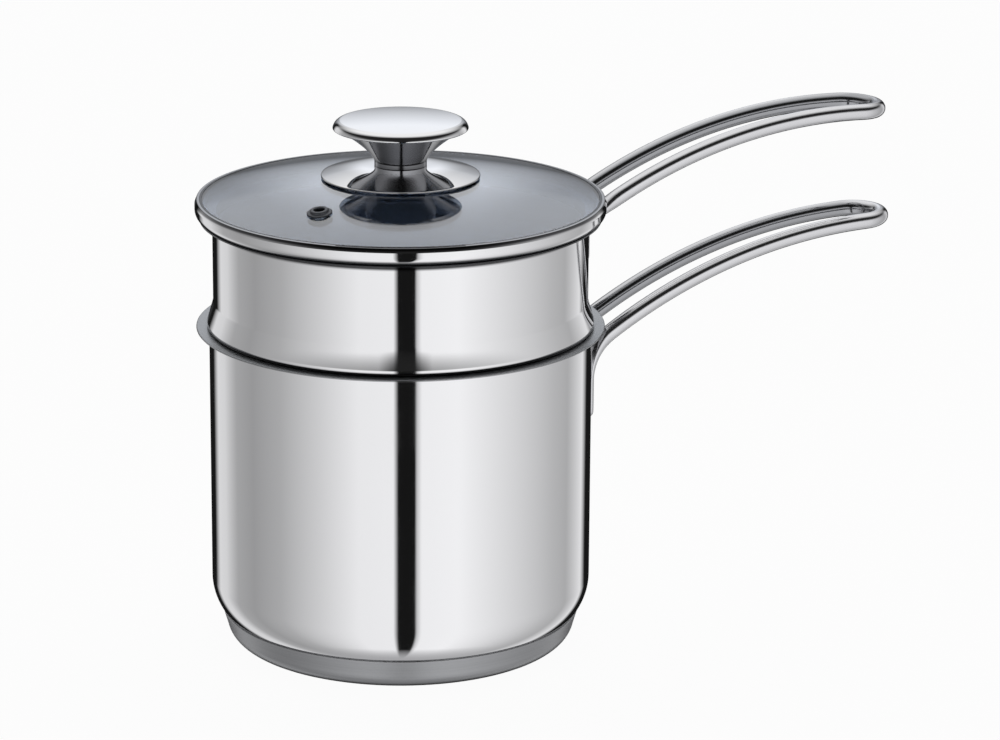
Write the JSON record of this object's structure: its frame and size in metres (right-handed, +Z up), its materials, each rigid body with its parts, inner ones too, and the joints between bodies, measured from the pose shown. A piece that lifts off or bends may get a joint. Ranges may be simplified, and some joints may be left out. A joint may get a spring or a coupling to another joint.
{
  "type": "double boiler",
  "caption": "Deep round pan with a wire-loop side handle that carries a hanging insert pan with its own handle, closed by a domed glass lid with a steel rim, steam vent and knob.",
  "frame": {"origin": "centre of the base's flat face, on the surface that the part stands on", "axes": "+Z up along the pans' common axis, +X along both handles from the pans to their tips, +Y to the left when looking along +X"},
  "size_m": [0.3158, 0.1726, 0.2266],
  "materials": {
    "polished_steel": "mirror polished stainless steel",
    "satin_steel": "satin stainless steel, brushed round the base",
    "aluminium_core": "plain pressed aluminium",
    "clear_glass": "clear tempered glass",
    "silicone": "matt silicone"
  },
  "bodies": {
    "lower_pan": {"lower_pan_shell": "polished_steel", "base_core": "aluminium_core", "base_capsule": "satin_steel", "lower_handle": "polished_steel"},
    "insert_pan": {"insert_shell": "polished_steel", "insert_handle": "polished_steel"},
    "lid": {"lid_glass": "clear_glass", "lid_rim": "polished_steel", "vent_eyelet": "polished_steel", "knob_disc": "polished_steel", "knob_neck": "polished_steel", "knob_cap": "polished_steel", "knob_core": "aluminium_core", "knob_screw": "satin_steel", "screw_washer": "satin_steel", "upper_gasket": "silicone", "lower_gasket": "silicone"}
  },
  "joints": [
    {"name": "insert_lift", "type": "slide", "parent": "lower_pan", "child": "insert_pan", "axis": [0, 0, 1], "range_m": [0, 0.08]},
    {"name": "lid_lift", "type": "slide", "parent": "insert_pan", "child": "lid", "axis": [0, 0, 1], "range_m": [0, 0.04]}
  ]
}
